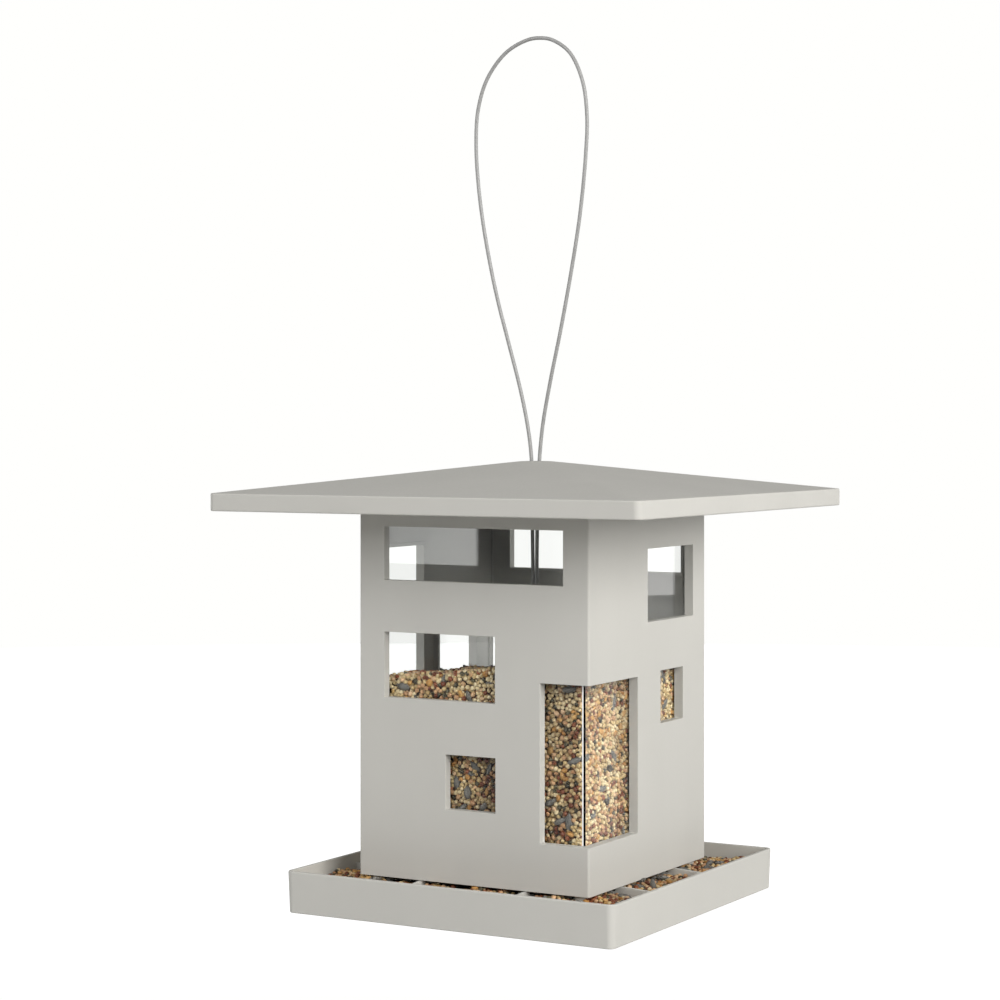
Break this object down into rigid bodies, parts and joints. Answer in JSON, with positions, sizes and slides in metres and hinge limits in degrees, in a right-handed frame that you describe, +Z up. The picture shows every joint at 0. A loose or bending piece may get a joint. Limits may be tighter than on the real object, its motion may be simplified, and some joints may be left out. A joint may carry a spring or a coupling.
{
  "type": "hanging bird feeder",
  "caption": "Hanging gravity seed feeder shaped like a small modern house: square tray, windowed housing over a clear hopper, and a wide pyramid roof that slides up a looped cable.",
  "frame": {"origin": "the point inside the top of the hanging loop where a hook bears, on the feeder's vertical centre line", "axes": "+Z up along the cable, -Y out of the face with three windows (front), +X out of the face to its right, which shares the corner window"},
  "size_m": [0.2826, 0.2826, 0.5231],
  "materials": {
    "house_grey": "satin moulded plastic, warm light grey",
    "deflector_grey": "satin moulded plastic, mid grey",
    "clear_plastic": "clear polished plastic",
    "coated_cable": "grey plastic coat over steel wire rope",
    "zinc_steel": "zinc plated",
    "crimp_aluminium": "pressed aluminium"
  },
  "bodies": {
    "base": {"housing": "house_grey", "clear_hopper": "clear_plastic", "tray": "house_grey", "seed_deflector": "deflector_grey", "hanging_cable": "coated_cable", "anchor_washer": "zinc_steel", "cable_ferrule": "crimp_aluminium", "base_screw_front_right": "zinc_steel", "base_screw_back_right": "zinc_steel", "base_screw_back_left": "zinc_steel", "base_screw_front_left": "zinc_steel"},
    "roof": {"roof": "house_grey"}
  },
  "joints": [
    {"name": "roof_lift", "type": "slide", "parent": "base", "child": "roof", "axis": [0, 0, 1], "range_m": [0, 0.12], "deforming": ["hanging_cable"]}
  ]
}
